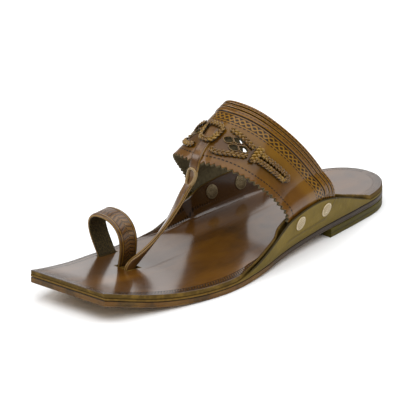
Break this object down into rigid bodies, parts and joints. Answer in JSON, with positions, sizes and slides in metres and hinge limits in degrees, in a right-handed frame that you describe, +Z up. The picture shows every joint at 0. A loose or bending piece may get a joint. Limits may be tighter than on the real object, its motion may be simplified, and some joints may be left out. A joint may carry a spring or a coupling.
{
  "type": "kolhapuri chappal",
  "caption": "Flat leather toe-loop sandal with an arched instep band, a twisted centre strap, plaited ornament and riveted side ears on a square-toed sole.",
  "frame": {"origin": "on the floor under the middle of the heel, 40 mm in front of the heel's back", "axes": "+Z up, toe towards -Y, outer side of the foot towards +X"},
  "size_m": [0.0939, 0.2884, 0.1015],
  "materials": {
    "khaki_leather": "flesh side, matt",
    "sole_leather": "cut edge, waxed",
    "glazed_brown_leather": "glazed",
    "tan_leather": "oiled, semi-gloss",
    "plaited_leather": "oiled, semi-gloss",
    "brass": "worn"
  },
  "bodies": {
    "root": {"heel": "khaki_leather", "outsole": "sole_leather", "midsole": "khaki_leather", "insole": "glazed_brown_leather", "upper": "tan_leather", "strap_keeper": "tan_leather", "toe_loop": "tan_leather", "braid_centre": "plaited_leather", "braid_lateral_upper_arm": "plaited_leather", "braid_lateral_lower_arm": "plaited_leather", "braid_lateral_knot": "plaited_leather", "braid_lateral_upper_cord": "plaited_leather", "braid_lateral_lower_cord": "plaited_leather", "braid_medial_upper_arm": "plaited_leather", "braid_medial_lower_arm": "plaited_leather", "braid_medial_knot": "plaited_leather", "braid_medial_upper_cord": "plaited_leather", "braid_medial_lower_cord": "plaited_leather", "rivet_1": "brass", "rivet_2": "brass", "rivet_3": "brass", "rivet_4": "brass"}
  },
  "joints": []
}
